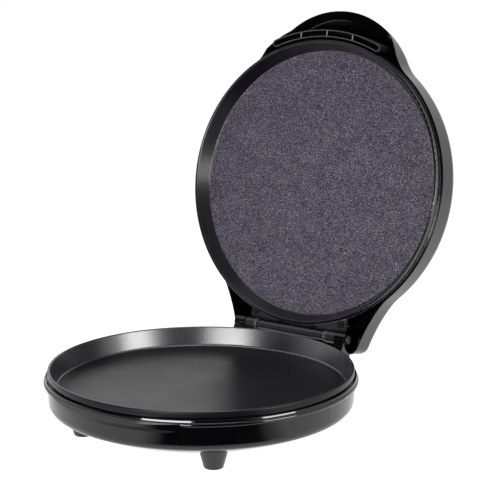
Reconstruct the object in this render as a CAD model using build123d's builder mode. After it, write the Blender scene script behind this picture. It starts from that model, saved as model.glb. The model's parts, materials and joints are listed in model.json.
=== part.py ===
"""Electric pizza maker: a round base with a baking pan and a hinged lid with an upper plate.

The pieces are drawn about the centre of the base on the bench: +Z is up, -Y is the front with
the handle and +Y is the hinge. The lid's pieces are drawn shut and then turned about the hinge
rod to rest on their open stop. At the end everything is moved so that the origin is the middle
of the outline, on the bench. All lengths are in millimetres and all angles in degrees.
"""

from math import cos, radians, sin, sqrt
import os

from build123d import *

os.makedirs("parts", exist_ok=True)

# Overall sizes
rim_height = 66.0
plate_gap = 0.6
open_angle = 101.7

# Base casing
casing_radius = 155.3
casing_wall = 2.0
casing_taper = 0.4
base_bottom = 20.0
base_corner = 9.0
base_corner_rise = 15.0
base_slope_angle = 65.0
bead_reach = 3.7
bead_height = 6.8
bead_drop = 7.7
bead_inset = 2.3
bead_roll = 0.8
seam_drop = 1.7
seam_width = 0.5
groove_width = 1.7
groove_depth = 3.7
lip_reach = 4.6
lip_setback = 28.2
lip_half_width = 84.1
lip_step = 16.0
lip_step_blend = 7.0
lip_slope_drop = 4.8
lip_edge = 1.6
lip_root_drop = 5.8

# Pans
pan_reveal = 0.3
plate_overhang = 1.0
rim_width = 2.9
pan_band = 5.5
pan_fit = 0.4
pan_draft = 5.2
lower_pan_depth = 20.3
lower_floor = 4.0
plate_draft = 10.0
upper_pan_depth = 16.2
upper_floor = 2.8
upper_band = 8.0
plate_step = 4.4
pan_wall = 2.2
pan_fillet = 2.0

# Pan bosses, screws and posts
boss_ring_radius = 72.0
boss_radius = 5.5
boss_height = 9.0
screw_radius = 1.95
screw_hole = 2.0
screw_head_radius = 3.8
screw_head = 2.4
thread_depth = 5.5
hole_depth = 6.0
post_radius = 6.0
counterbore_radius = 4.4
counterbore_depth = 4.0

# Heaters, clips and shields
element_ring_radius = 108.0
element_radius = 3.5
element_angle = 324.0
element_leg = 8.0
element_seat = 0.2
leg_clearance = 1.5
clip_width = 8.0
clip_sheet = 0.9
clip_foot = 5.0
clip_angles = (40.0, 140.0, 220.0, 320.0)
shield_sheet = 0.8
shield_gap = 9.9
shield_mouth_gap = 22.0
shield_rim = 4.0

# Feet
foot_front_x = 81.5
foot_front_inset = 66.3
foot_rear_x = 58.0
foot_rear_inset = 37.3
foot_bottom_radius = 9.3
foot_top_radius = 14.6
foot_lift = 0.5
foot_edge = 1.6
pad_radius = 7.0
pad_height = 2.4
pad_clearance = 0.1
foot_counterbore_height = 12.0
foot_boss_radius = 5.5
foot_boss_height = 7.0
foot_screw_short = 1.0

# Hinge
hinge_setback = 8.7
hinge_rise = 1.4
rod_radius = 2.5
rod_clearance = 0.05
barrel_clearance = 0.1
barrel_radius = 5.0
barrel_half = 46.9
barrel_seam = 0.15
collar_radius = 6.0
collar_length = 3.0
web_sheet = 2.4
knuckle_radius = 6.5
hinge_play = 0.5
knuckle_width = 11.3
ear_width = 12.8
ear_radius = 7.5
ear_root = 38.0
ear_front = 24.0
ear_shoulder = 11.5
cap_radius = 4.5
cap_length = 2.5
stop_gap = 0.3
stop_height = 7.0

# Lid casing
lid_reveal = 2.7
lid_wall = 2.5
lid_edge_rise = 10.5
lid_side_height = 33.0
lid_crown = 2.5
lid_shoulder = 12.0
lid_post_inset = 34.7
crown_inset = 46.7
handle_length = 33.3
handle_curve = 97.7
handle_blend = 50.0
handle_wall = 3.0
handle_fall = 10.2
hood_lift = 16.5
hood_half_width = 64.0
hood_flare = 20.0
hood_roof = 5.0
hood_corner = 6.0
tail_length = 16.7
tail_bend_offset = (9.6, 4.0)
tail_waist_offset = (22.6, -27.0)
tail_root_angle = 43.6
tail_root_inset = 2.2
tail_blend = 72.0
tail_corner = 12.5

# Lid frame, hinge plate and guard
frame_sheet = 3.0
frame_fit = 0.1
arm_width = 14.0
arm_sheet = 2.6
arm_overlap = 10.0
arm_bend = 7.0
arm_setback = 1.2
hinge_plate_half = 62.0
hinge_plate_sheet = 2.5
hinge_plate_front = 23.0
hinge_plate_rear = 12.0
hinge_screw_outer = (56.0, 13.8)
hinge_screw_inner = (22.0, 5.1)
guard_clearance = 0.2
guard_width = 8.3
guard_half_angle = 23.5
guard_wall = 1.5
guard_height = 26.0
guard_channel = 14.0
guard_rib = 1.2
guard_rib_pitch = 33.2
guard_rib_setback = 0.4

# Indicator lights
lens_radius = 4.0
lens_clearance = 0.1
lens_pitch = 18.0
lens_inset = 6.0
lens_flange = 1.5
lens_rise = 2.0
lamp_radius = 2.6
lamp_gap = 0.1
tray_length = 34.0
tray_depth = 14.0
tray_sheet = 1.0
tray_lip = 2.5

# Controls and mains entry
thermostat_radius = 8.5
thermostat_height = 7.0
thermostat_ear = 29.0
ear_slot = 8.0
ear_sheet = 1.2
thermostat_step = 0.6
tab_sheet = 0.8
tab_width = 6.3
tab_length = 4.0
thermostat_spot = (26.0, -16.0)
fuse_radius = 2.6
fuse_length = 18.0
fuse_spot = (-24.0, 14.0)
strap_sheet = 1.0
strap_width = 8.0
strap_length = 22.0
block_length = 32.0
block_depth = 15.0
block_height = 9.0
block_inset = 41.0
block_corner = 2.0
block_bore = 1.9
block_screw = 1.6
inlet_height = 35.0
inlet_width = 24.0
inlet_tall = 21.0
inlet_corner = 4.0
inlet_reach = 3.7
inlet_radius = 5.5
inlet_bore = 3.4
inlet_clearance = 0.05
inlet_flange = 8.0
inlet_sheet = 2.2

vent_ring_radius = 48.0
vent_count = 12
vent_length = 22.0
vent_width = 4.0

# Radii and places that follow from the sizes
bead_radius = casing_radius + bead_reach
lip_radius = bead_radius + lip_reach
lip_curve = lip_radius - lip_setback
inner_radius = casing_radius - casing_wall
pan_body_radius = inner_radius - pan_fit
lower_rim_radius = casing_radius - pan_reveal
lower_floor_radius = lower_rim_radius - pan_draft
upper_rim_radius = lower_rim_radius + plate_overhang
upper_floor_radius = upper_rim_radius - plate_draft
plate_back_radius = upper_rim_radius - plate_step
lid_radius = upper_rim_radius + lid_reveal
crown_radius = lid_radius - crown_inset
shield_radius = pan_body_radius - shield_gap
shield_mouth = boss_ring_radius - shield_mouth_gap
foot_front = (foot_front_x, foot_front_inset - casing_radius)
foot_rear = (foot_rear_x, casing_radius - foot_rear_inset)
feet = [(x, y) for x0, y in (foot_front, foot_rear) for x in (-x0, x0)]
hinge_y = casing_radius + hinge_setback
knuckle_inner = barrel_half + hinge_play
knuckle_outer = knuckle_inner + knuckle_width
ear_inner = knuckle_outer + hinge_play
ear_outer = ear_inner + ear_width
handle_reach = lid_radius + handle_length
handle_y = handle_curve - handle_reach
handle_fall_start = -crown_radius
tail_rear = hinge_y + tail_length
tail_bend = (ear_outer + tail_bend_offset[0], hinge_y + tail_bend_offset[1])
tail_waist = (ear_outer + tail_waist_offset[0], hinge_y + tail_waist_offset[1])
tail_root = (
    (lid_radius - tail_root_inset) * cos(radians(tail_root_angle)),
    (lid_radius - tail_root_inset) * sin(radians(tail_root_angle)),
)
hinge_screws = [
    (x, hinge_y - inset) for x0, inset in (hinge_screw_outer, hinge_screw_inner) for x in (-x0, x0)
]
guard_inner_radius = lid_radius + guard_clearance
lens_y = lens_inset - crown_radius
lens_places = [(-lens_pitch / 2, lens_y), (lens_pitch / 2, lens_y)]
block_y = inner_radius - block_inset
inlet_face = casing_radius + inlet_reach

# Levels that follow from the sizes
hinge_z = rim_height + hinge_rise
hinge_axis = Axis((0, hinge_y, hinge_z), (1, 0, 0))
seat_z = rim_height - pan_band
bead_top = rim_height - bead_drop
bead_bottom = bead_top - bead_height
seam_z = bead_top - seam_drop
floor_top = base_bottom + casing_wall
pan_screw_seat = base_bottom + counterbore_depth
pan_floor_z = rim_height - lower_pan_depth
pan_back_z = pan_floor_z - lower_floor
boss_z = pan_back_z - boss_height
lower_shield_z = boss_z - shield_sheet
upper_rim_z = rim_height + plate_gap
plate_floor_z = upper_rim_z + upper_pan_depth
plate_back_z = plate_floor_z + upper_floor
plate_seat_z = upper_rim_z + upper_band
upper_boss_z = plate_back_z + boss_height
upper_shield_z = upper_boss_z + shield_sheet
arm_top_z = upper_shield_z + arm_sheet
lid_edge_z = rim_height + lid_edge_rise
lid_side_z = lid_edge_z + lid_side_height
frame_top_z = plate_seat_z + frame_sheet
plate_top_z = frame_top_z + hinge_plate_sheet


def opened(y, z):
    """Return where a point of the shut lid's side view lies once the lid is open."""
    turn = radians(open_angle)
    dy, dz = y - hinge_y, z - hinge_z
    return hinge_y + dy * cos(turn) + dz * sin(turn), hinge_z - dy * sin(turn) + dz * cos(turn)


def heater(level, leg_direction):
    """Return a tubular heater: an open ring with a leg at each of its ends."""
    gap = (360 - element_angle) / 2
    start = Plane.XZ.rotated((0, 0, 90 + gap))
    with BuildPart() as ring:
        with BuildSketch(start):
            with Locations((element_ring_radius, level)):
                Circle(element_radius)
        revolve(axis=Axis.Z, revolution_arc=element_angle)
        with BuildSketch(Plane.XY.offset(level)):
            with PolarLocations(element_ring_radius, 2, 90 - gap, 2 * gap, endpoint=True):
                Circle(element_radius)
        extrude(amount=leg_direction * element_leg)
    return ring.part


def clips(level, side):
    """Return the straps that hold a heater: side is +1 where they lie above the pan's back."""
    inner = element_radius + element_seat
    outer = inner + clip_sheet
    foot = outer + clip_foot
    crown = 2 * element_radius + 2 * element_seat
    with BuildPart() as straps:
        for angle in clip_angles:
            radial = Plane.XZ.rotated((0, 0, angle)).offset(-clip_width / 2)
            with BuildSketch(radial):
                with BuildLine():
                    Polyline(
                        (element_ring_radius - foot, level),
                        (element_ring_radius - inner, level),
                        (element_ring_radius - inner, level + side * crown),
                        (element_ring_radius + inner, level + side * crown),
                        (element_ring_radius + inner, level),
                        (element_ring_radius + foot, level),
                        (element_ring_radius + foot, level + side * clip_sheet),
                        (element_ring_radius + outer, level + side * clip_sheet),
                        (element_ring_radius + outer, level + side * (crown + clip_sheet)),
                        (element_ring_radius - outer, level + side * (crown + clip_sheet)),
                        (element_ring_radius - outer, level + side * clip_sheet),
                        (element_ring_radius - foot, level + side * clip_sheet),
                        close=True,
                    )
                make_face()
            extrude(amount=clip_width)
    return straps.part


def shield(level, side):
    """Return a heat shield: a flat ring with its outer rim turned up towards the pan."""
    rim = level - side * shield_rim
    far = level + side * shield_sheet
    with BuildPart() as dish:
        with BuildSketch(Plane.XZ):
            with BuildLine():
                Polyline(
                    (shield_mouth, level),
                    (shield_radius - shield_rim, level),
                    (shield_radius, rim),
                    (shield_radius + shield_sheet, rim),
                    (shield_radius - shield_rim + shield_sheet / 2, far),
                    (shield_mouth, far),
                    close=True,
                )
            make_face()
        revolve(axis=Axis.Z)
        with BuildSketch(Plane.XY.offset(level - shield_rim - shield_sheet)):
            with PolarLocations(boss_ring_radius, 4):
                Circle(screw_hole)
            gap = (360 - element_angle) / 2
            with PolarLocations(element_ring_radius, 2, 90 - gap, 2 * gap, endpoint=True):
                Circle(element_radius + leg_clearance)
        extrude(amount=2 * (shield_rim + shield_sheet), mode=Mode.SUBTRACT)
    return dish.part


def screws(places, head_z, tip_z):
    """Return screws at the given places, with round heads below or above their shanks."""
    outward = 1 if head_z > tip_z else -1
    with BuildPart() as group:
        with BuildSketch(Plane.XY.offset(head_z)):
            with Locations(*places):
                Circle(screw_head_radius)
        extrude(amount=outward * screw_head)
        with BuildSketch(Plane.XY.offset(head_z)):
            with Locations(*places):
                Circle(screw_radius)
        extrude(amount=tip_z - head_z)
    return group.part


boss_places = [(boss_ring_radius, 0), (0, boss_ring_radius), (-boss_ring_radius, 0), (0, -boss_ring_radius)]


# Base casing
wall_foot = casing_radius - casing_taper
corner_z = base_bottom + base_corner_rise
corner_x = wall_foot - base_corner


def on_corner(angle, inset):
    """Return a point of the rounded lower corner, the given distance inside it."""
    reach = base_corner - inset
    return corner_x + reach * cos(radians(angle)), corner_z - reach * sin(radians(angle))


def slope_end(inset):
    """Return where the slope below the corner, moved in by the given distance, ends."""
    x, z = on_corner(base_slope_angle, inset)
    return x - (z - base_bottom - inset) * sin(radians(base_slope_angle)) / cos(radians(base_slope_angle))


bead_foot = (bead_radius - bead_roll, bead_bottom + bead_roll)
bead_front = (bead_radius, bead_bottom + bead_height / 2)
bead_crest = (bead_radius - bead_inset, bead_top)
seam_outer = bead_radius - bead_inset * (seam_z - bead_front[1]) / (bead_height / 2)
groove_outer = bead_crest[0] - bead_roll
groove_inner = groove_outer - groove_width
groove_z = seat_z - groove_depth

with BuildPart() as base_housing:
    with BuildSketch(Plane.XZ):
        with BuildLine():
            corner = [on_corner(angle, 0) for angle in (base_slope_angle, base_slope_angle / 2, 0)]
            Polyline((0, seat_z), (0, base_bottom), (slope_end(0), base_bottom), corner[0])
            ThreePointArc(*corner)
            Polyline(corner[-1], (casing_radius, bead_bottom), bead_foot)
            ThreePointArc(bead_foot, bead_front, (seam_outer, seam_z - seam_width))
            Polyline(
                (seam_outer, seam_z - seam_width),
                (seam_outer - seam_width, seam_z - seam_width),
                (seam_outer - seam_width, seam_z),
                (seam_outer - seam_width / 2, seam_z),
                bead_crest,
                (groove_outer, bead_top - seam_width),
                (groove_outer, groove_z),
                (groove_inner, groove_z),
                (groove_inner, seat_z),
                (0, seat_z),
            )
        make_face()
    revolve(axis=Axis.Z)
    # Hinge ears, whose rear faces are the stops of the open lid
    stop_y, stop_z = opened(tail_rear, lid_edge_z)
    stop_y -= stop_gap
    for side in (-1, 1):
        with BuildSketch(Plane.YZ.offset(side * ear_inner)):
            with BuildLine():
                Polyline(
                    (hinge_y - ear_front, ear_root),
                    (stop_y - stop_height, ear_root),
                    (stop_y, stop_z - stop_height / 2),
                    (stop_y, stop_z + stop_height / 2),
                    (hinge_y + ear_radius * cos(radians(20)), hinge_z - ear_radius * sin(radians(20))),
                    (hinge_y, hinge_z),
                    (hinge_y - ear_radius * cos(radians(15)), hinge_z - ear_radius * sin(radians(15))),
                    (hinge_y - ear_shoulder, bead_top),
                    (hinge_y - ear_front, bead_top),
                    close=True,
                )
            make_face()
            with Locations((hinge_y, hinge_z)):
                Circle(ear_radius)
        extrude(amount=side * (ear_outer - ear_inner))
    # Socket of the mains inlet
    with BuildSketch(Plane.XZ.offset(-inlet_face)):
        with Locations((0, inlet_height)):
            RectangleRounded(inlet_width, inlet_tall, inlet_corner)
    extrude(amount=inlet_face - inner_radius)
    # Round bosses that carry the feet below the sloping corner
    with BuildSketch(Plane.XY.offset(base_bottom)):
        with Locations(*feet):
            Circle(foot_top_radius)
    extrude(amount=base_corner_rise / 2)
    # Hollow inside the casing
    with BuildSketch(Plane.XZ):
        with BuildLine():
            Polyline(
                on_corner(0, casing_wall),
                (inner_radius, bead_bottom),
                (inner_radius, rim_height),
                (0, rim_height),
                (0, floor_top),
                (slope_end(casing_wall), floor_top),
                on_corner(base_slope_angle, casing_wall),
            )
            ThreePointArc(
                on_corner(base_slope_angle, casing_wall),
                on_corner(base_slope_angle / 2, casing_wall),
                on_corner(0, casing_wall),
            )
        make_face()
    revolve(axis=Axis.Z, mode=Mode.SUBTRACT)
    # Posts under the pan's bosses and pillars over the feet
    with BuildSketch(Plane.XY.offset(floor_top)):
        with Locations(*boss_places):
            Circle(post_radius)
    extrude(amount=lower_shield_z - floor_top)
    with BuildSketch(Plane.XY.offset(floor_top)):
        with Locations(*feet):
            Circle(foot_boss_radius)
    extrude(amount=foot_boss_height)
    with BuildSketch(Plane.XY.offset(base_bottom)):
        with Locations(*feet):
            Circle(screw_hole)
    extrude(amount=casing_wall + foot_boss_height, mode=Mode.SUBTRACT)
    with BuildSketch(Plane.XY.offset(base_bottom)):
        with Locations(*boss_places):
            Circle(screw_hole)
    extrude(amount=lower_shield_z - base_bottom, mode=Mode.SUBTRACT)
    with BuildSketch(Plane.XY.offset(base_bottom)):
        with Locations(*boss_places):
            Circle(counterbore_radius)
    extrude(amount=pan_screw_seat - base_bottom, mode=Mode.SUBTRACT)
    # Vent slots in the floor
    with BuildSketch(Plane.XY.offset(base_bottom)):
        with PolarLocations(vent_ring_radius, vent_count, 15):
            SlotOverall(vent_length, vent_width)
    extrude(amount=casing_wall, mode=Mode.SUBTRACT)
    # Bores of the hinge rod and of the mains inlet
    with BuildSketch(Plane.YZ.offset(-ear_outer)):
        with Locations((hinge_y, hinge_z)):
            Circle(rod_radius + rod_clearance)
    extrude(amount=2 * ear_outer, mode=Mode.SUBTRACT)
    with BuildSketch(Plane.XZ.offset(-inlet_face)):
        with Locations((0, inlet_height)):
            Circle(inlet_radius)
    extrude(amount=inlet_face - inner_radius + casing_wall, mode=Mode.SUBTRACT)

# Finger lip: a sloping ring, trimmed by a tighter circle so that it tapers off towards its
# ends, and seen from the front by an outline whose ends step up to the bead
lip_root = wall_foot - casing_wall / 2
with BuildPart() as finger_lip:
    with BuildSketch(Plane.XZ):
        with BuildLine():
            Polyline(
                (lip_root, bead_bottom - lip_root_drop),
                (lip_root, seam_z - seam_width),
                (seam_outer, seam_z - seam_width),
                (lip_radius, bead_top - lip_slope_drop),
                (lip_radius, bead_top - lip_slope_drop - lip_edge),
                (casing_radius + casing_taper, bead_bottom - lip_root_drop),
                close=True,
            )
        make_face()
    revolve(axis=Axis.Z)
    with BuildSketch(Plane.XY):
        with Locations((0, lip_curve - lip_radius)):
            Circle(lip_curve)
    extrude(amount=rim_height, mode=Mode.INTERSECT)
    with BuildSketch(Plane.XZ) as lip_front:
        with BuildLine():
            Polyline(
                (-lip_half_width, rim_height),
                (-lip_half_width, bead_bottom),
                (lip_step - lip_half_width, bead_bottom - lip_root_drop),
                (lip_half_width - lip_step, bead_bottom - lip_root_drop),
                (lip_half_width, bead_bottom),
                (lip_half_width, rim_height),
                close=True,
            )
        make_face()
        fillet(lip_front.vertices().filter_by_position(Axis.Y, 0, bead_top), lip_step_blend)
    extrude(amount=lip_radius, mode=Mode.INTERSECT)

with base_housing:
    add(finger_lip.part)


# Lower baking pan: band, wall and floor, with four screw bosses below
band_inner = lower_rim_radius - rim_width
rim_round = rim_width / 2 - 0.15
with BuildPart() as lower_pan:
    with BuildSketch(Plane.XZ) as pan_section:
        with BuildLine():
            Polyline(
                (0, pan_floor_z),
                (lower_floor_radius, pan_floor_z),
                (band_inner, rim_height),
                (lower_rim_radius, rim_height),
                (lower_rim_radius, seat_z),
                (pan_body_radius, seat_z),
                (pan_body_radius, pan_back_z),
                (0, pan_back_z),
                close=True,
            )
        make_face()
        fillet(pan_section.vertices().group_by(Axis.Y)[-1], rim_round)
        floor_corner = pan_section.vertices().sort_by_distance((lower_floor_radius, pan_floor_z))[0]
        fillet(floor_corner, pan_fillet)
        back_corner = pan_section.vertices().sort_by_distance((pan_body_radius, pan_back_z))[0]
        fillet(back_corner, pan_fillet)
    revolve(axis=Axis.Z)
    with BuildSketch(Plane.XY.offset(boss_z)):
        with Locations(*boss_places):
            Circle(boss_radius)
    extrude(amount=boss_height)
    with BuildSketch(Plane.XY.offset(boss_z)):
        with Locations(*boss_places):
            Circle(screw_hole)
    extrude(amount=hole_depth, mode=Mode.SUBTRACT)

# Upper plate: the same form turned over, with a shallower dish
plate_inner = upper_rim_radius - rim_width
with BuildPart() as upper_pan:
    with BuildSketch(Plane.XZ) as plate_section:
        with BuildLine():
            Polyline(
                (0, plate_floor_z),
                (upper_floor_radius, plate_floor_z),
                (plate_inner, upper_rim_z),
                (upper_rim_radius, upper_rim_z),
                (upper_rim_radius, plate_seat_z),
                (plate_back_radius, plate_seat_z),
                (upper_floor_radius + pan_wall, plate_back_z),
                (0, plate_back_z),
                close=True,
            )
        make_face()
        fillet(plate_section.vertices().group_by(Axis.Y)[0], rim_round)
        dish_corner = plate_section.vertices().sort_by_distance((upper_floor_radius, plate_floor_z))[0]
        fillet(dish_corner, pan_fillet)
        plate_corner = plate_section.vertices().group_by(Axis.Y)[-1].sort_by(Axis.X)[-1]
        fillet(plate_corner, pan_fillet)
    revolve(axis=Axis.Z)
    with BuildSketch(Plane.XY.offset(plate_back_z)):
        with Locations(*boss_places):
            Circle(boss_radius)
    extrude(amount=boss_height)
    with BuildSketch(Plane.XY.offset(upper_boss_z)):
        with Locations(*boss_places):
            Circle(screw_hole)
    extrude(amount=-hole_depth, mode=Mode.SUBTRACT)

# Heaters with their clips and shields
with BuildPart() as lower_heating_element:
    add(heater(pan_back_z - element_seat - element_radius, -1))
with BuildPart() as lower_element_clips:
    add(clips(pan_back_z, -1))
with BuildPart() as lower_reflector:
    add(shield(boss_z, -1))
with BuildPart() as upper_heating_element:
    add(heater(plate_back_z + element_seat + element_radius, 1))
with BuildPart() as upper_element_clips:
    add(clips(plate_back_z, 1))
with BuildPart() as upper_reflector:
    add(shield(upper_boss_z, 1))

# Pan screws
with BuildPart() as lower_pan_screws:
    add(screws(boss_places, pan_screw_seat, boss_z + thread_depth))
with BuildPart() as upper_pan_screws:
    add(screws(boss_places, arm_top_z, upper_boss_z - thread_depth))

# Feet: cones with a counterbore for the screw and a recess for the soft pad
def foot(place):
    """Return one foot: a tapered plug under the base, bored for its screw and its pad."""
    with BuildPart() as cone:
        with BuildSketch(Plane.XY.offset(foot_lift)):
            with Locations(place):
                Circle(foot_bottom_radius)
        with BuildSketch(Plane.XY.offset(base_bottom)):
            with Locations(place):
                Circle(foot_top_radius)
        loft()
        fillet(cone.faces().sort_by(Axis.Z)[0].edges(), foot_edge)
        with BuildSketch(Plane.XY.offset(foot_lift)):
            with Locations(place):
                Circle(pad_radius + pad_clearance)
        extrude(amount=pad_height - foot_lift, mode=Mode.SUBTRACT)
        with BuildSketch(Plane.XY.offset(foot_lift)):
            with Locations(place):
                Circle(counterbore_radius)
        extrude(amount=foot_counterbore_height - foot_lift, mode=Mode.SUBTRACT)
        with BuildSketch(Plane.XY.offset(foot_lift)):
            with Locations(place):
                Circle(screw_hole)
        extrude(amount=base_bottom - foot_lift, mode=Mode.SUBTRACT)
    return cone.part


with BuildPart() as foot_front_left:
    add(foot(feet[0]))
with BuildPart() as foot_front_right:
    add(foot(feet[1]))
with BuildPart() as foot_rear_left:
    add(foot(feet[2]))
with BuildPart() as foot_rear_right:
    add(foot(feet[3]))

with BuildPart() as foot_screws:
    add(screws(feet, foot_counterbore_height, floor_top + foot_boss_height - foot_screw_short))

with BuildPart() as foot_pads:
    with BuildSketch():
        with Locations(*feet):
            Circle(pad_radius)
    extrude(amount=pad_height)

# Hinge rod and its push-on caps
with BuildPart() as hinge_rod:
    with BuildSketch(Plane.YZ.offset(-ear_outer)):
        with Locations((hinge_y, hinge_z)):
            Circle(rod_radius)
    extrude(amount=2 * ear_outer)


def hinge_cap(side):
    """Return the cap that closes one end of the hinge rod."""
    with BuildPart() as cap:
        with BuildSketch(Plane.YZ.offset(side * ear_outer)):
            with Locations((hinge_y, hinge_z)):
                Circle(cap_radius)
        extrude(amount=side * cap_length)
        fillet(cap.faces().sort_by(Axis.X)[-1 if side > 0 else 0].edges(), cap_length / 3)
    return cap.part


with BuildPart() as hinge_cap_left:
    add(hinge_cap(-1))
with BuildPart() as hinge_cap_right:
    add(hinge_cap(1))

# Controls of the heaters and the mains entry
def thermostat(level, side):
    """Return a disc thermostat with its mounting ear and two tabs: side as for the clips."""
    with BuildPart() as disc:
        with BuildSketch(Plane.XY.offset(level)):
            with Locations(thermostat_spot):
                Circle(thermostat_radius)
                SlotOverall(thermostat_ear, ear_slot)
        extrude(amount=side * ear_sheet)
        with BuildSketch(Plane.XY.offset(level + side * ear_sheet)):
            with Locations(thermostat_spot):
                Circle(thermostat_radius - thermostat_step)
        extrude(amount=side * thermostat_height)
        with BuildSketch(Plane.XY.offset(level + side * (ear_sheet + thermostat_height))):
            with Locations(thermostat_spot):
                with GridLocations(thermostat_radius, 1, 2, 1):
                    Rectangle(tab_sheet, tab_width)
        extrude(amount=side * tab_length)
    return disc.part


with BuildPart() as lower_thermostat:
    add(thermostat(pan_back_z, -1))
with BuildPart() as upper_thermostat:
    add(thermostat(plate_back_z, 1))

with BuildPart() as thermal_fuse:
    fuse_z = pan_back_z - strap_sheet - fuse_radius
    with BuildSketch(Plane.YZ.offset(fuse_spot[0] - fuse_length / 2)):
        with Locations((fuse_spot[1], fuse_z)):
            Circle(fuse_radius)
    extrude(amount=fuse_length)
    with BuildSketch(Plane.YZ.offset(fuse_spot[0] - strap_width / 2)):
        with Locations((fuse_spot[1], fuse_z)):
            Circle(fuse_radius + strap_sheet)
        with Locations((fuse_spot[1], pan_back_z - strap_sheet / 2)):
            Rectangle(strap_length, strap_sheet)
    extrude(amount=strap_width)

with BuildPart() as terminal_block:
    with BuildSketch(Plane.XY.offset(floor_top)):
        with Locations((0, block_y)):
            RectangleRounded(block_length, block_depth, block_corner)
    extrude(amount=block_height)
    with BuildSketch(Plane.XZ.offset(-block_y - block_depth / 2)):
        with Locations((0, floor_top + block_height / 2)):
            with GridLocations(block_length / 3, 1, 3, 1):
                Circle(block_bore)
    extrude(amount=block_depth, mode=Mode.SUBTRACT)
    with BuildSketch(Plane.XY.offset(floor_top + block_height)):
        with Locations((0, block_y)):
            with GridLocations(block_length / 3, 1, 3, 1):
                Circle(block_screw)
    extrude(amount=-block_height / 2, mode=Mode.SUBTRACT)

with BuildPart() as cord_inlet:
    inlet_plane = Plane.XZ.offset(-inlet_face)
    with BuildSketch(inlet_plane):
        with Locations((0, inlet_height)):
            Circle(inlet_flange)
    extrude(amount=-inlet_sheet)
    fillet(cord_inlet.faces().sort_by(Axis.Y)[-1].edges(), inlet_sheet / 2)
    with BuildSketch(inlet_plane):
        with Locations((0, inlet_height)):
            Circle(inlet_radius - inlet_clearance)
    extrude(amount=inlet_face - inner_radius + inlet_sheet / 2)
    with BuildSketch(Plane.XZ.offset(-inlet_face - inlet_sheet)):
        with Locations((0, inlet_height)):
            Circle(inlet_bore)
    extrude(amount=inlet_face - inner_radius + 2 * inlet_sheet, mode=Mode.SUBTRACT)


# Lid casing
def lid_plan(inset, with_handle):
    """Return the lid's plan: its round body, its flared tail and, if asked, its handle."""
    with BuildSketch() as plan:
        Circle(lid_radius)
        with BuildLine():
            flare = ThreePointArc(tail_root, tail_waist, tail_bend)
            run = flare % 1 * ((tail_rear - tail_bend[1]) / (flare % 1).Y)
            side = Line(tail_bend, (tail_bend[0] + run.X, tail_rear))
            mirror(flare, about=Plane.YZ)
            mirror(side, about=Plane.YZ)
            Line(side @ 1, (-(side @ 1).X, tail_rear))
            Line(tail_root, (-tail_root[0], tail_root[1]))
        make_face()
        if with_handle:
            with Locations((0, handle_y)):
                Circle(handle_curve)
            shoulders = plan.vertices().filter_by_position(Axis.Y, handle_y - 60, handle_y)
            fillet(shoulders, handle_blend)
        fillet(plan.vertices().group_by(Axis.Y)[-1], tail_corner)
        fillet(plan.vertices().filter_by_position(Axis.Y, tail_root[1] - 8, tail_waist[1] - 8), tail_blend)
        if inset:
            offset(amount=-inset, mode=Mode.REPLACE)
    return plan.sketch


def cap(top, radius):
    """Return the shallow dome that crowns a flat top at the given height."""
    with BuildPart() as dome:
        with BuildSketch(Plane.XZ):
            with BuildLine():
                Polyline((0, top + lid_crown), (0, top), (radius, top))
                sphere = (radius**2 + lid_crown**2) / (2 * lid_crown)
                middle = top + lid_crown - sphere + sqrt(sphere**2 - radius**2 / 4)
                ThreePointArc((0, top + lid_crown), (radius / 2, middle), (radius, top))
            make_face()
        revolve(axis=Axis.Z)
    return dome.part


def above_handle(top):
    """Return what lies above a roof at the given height that falls away towards the handle's tip."""
    tip = -handle_reach - lid_wall
    run = handle_fall_start - tip
    fall_radius = (run**2 + handle_fall**2) / (2 * handle_fall)
    half_fall = fall_radius - sqrt(fall_radius**2 - run**2 / 4)
    with BuildPart() as waste:
        with BuildSketch(Plane.YZ.offset(-lid_radius)):
            with BuildLine():
                low = top - handle_fall
                high = top + lid_crown
                ThreePointArc((handle_fall_start, top), (tip + run / 2, top - half_fall), (tip, low))
                Polyline((tip, low), (tip, high), (handle_fall_start, high), (handle_fall_start, top))
            make_face()
        extrude(amount=2 * lid_radius)
    return waste.part


def casing(plan, bottom, top, shoulder):
    """Return a solid on the given plan with a round shoulder, a crown and a falling handle."""
    with BuildPart() as form:
        with BuildSketch(Plane.XY.offset(bottom)):
            add(plan)
        extrude(amount=top - bottom)
        add(above_handle(top), mode=Mode.SUBTRACT)
        roof = form.faces().filter_by(lambda face: face.normal_at().Z > 0.5)
        edges = roof.edges()
        rims = edges.filter_by(lambda edge: sum(edge.is_same(other) for other in edges) == 1)
        fillet(rims, shoulder)
        add(cap(top, crown_radius))
    return form.part


# Hood of the handle: a crescent hollow in front of the round wall
hood_floor = lid_edge_z - 1
hood_ceiling = lid_side_z - hood_roof
with BuildPart() as hood:
    with BuildSketch(Plane.XY.offset(hood_floor)):
        with Locations((0, handle_y)):
            Circle(handle_curve - handle_wall)
        Circle(lid_radius, mode=Mode.SUBTRACT)
    extrude(amount=hood_ceiling - hood_floor)
    add(above_handle(hood_ceiling), mode=Mode.SUBTRACT)
    fillet(hood.faces().sort_by(Axis.Z)[-1].edges().sort_by(Axis.Y)[0], lid_shoulder - handle_wall)

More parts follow.
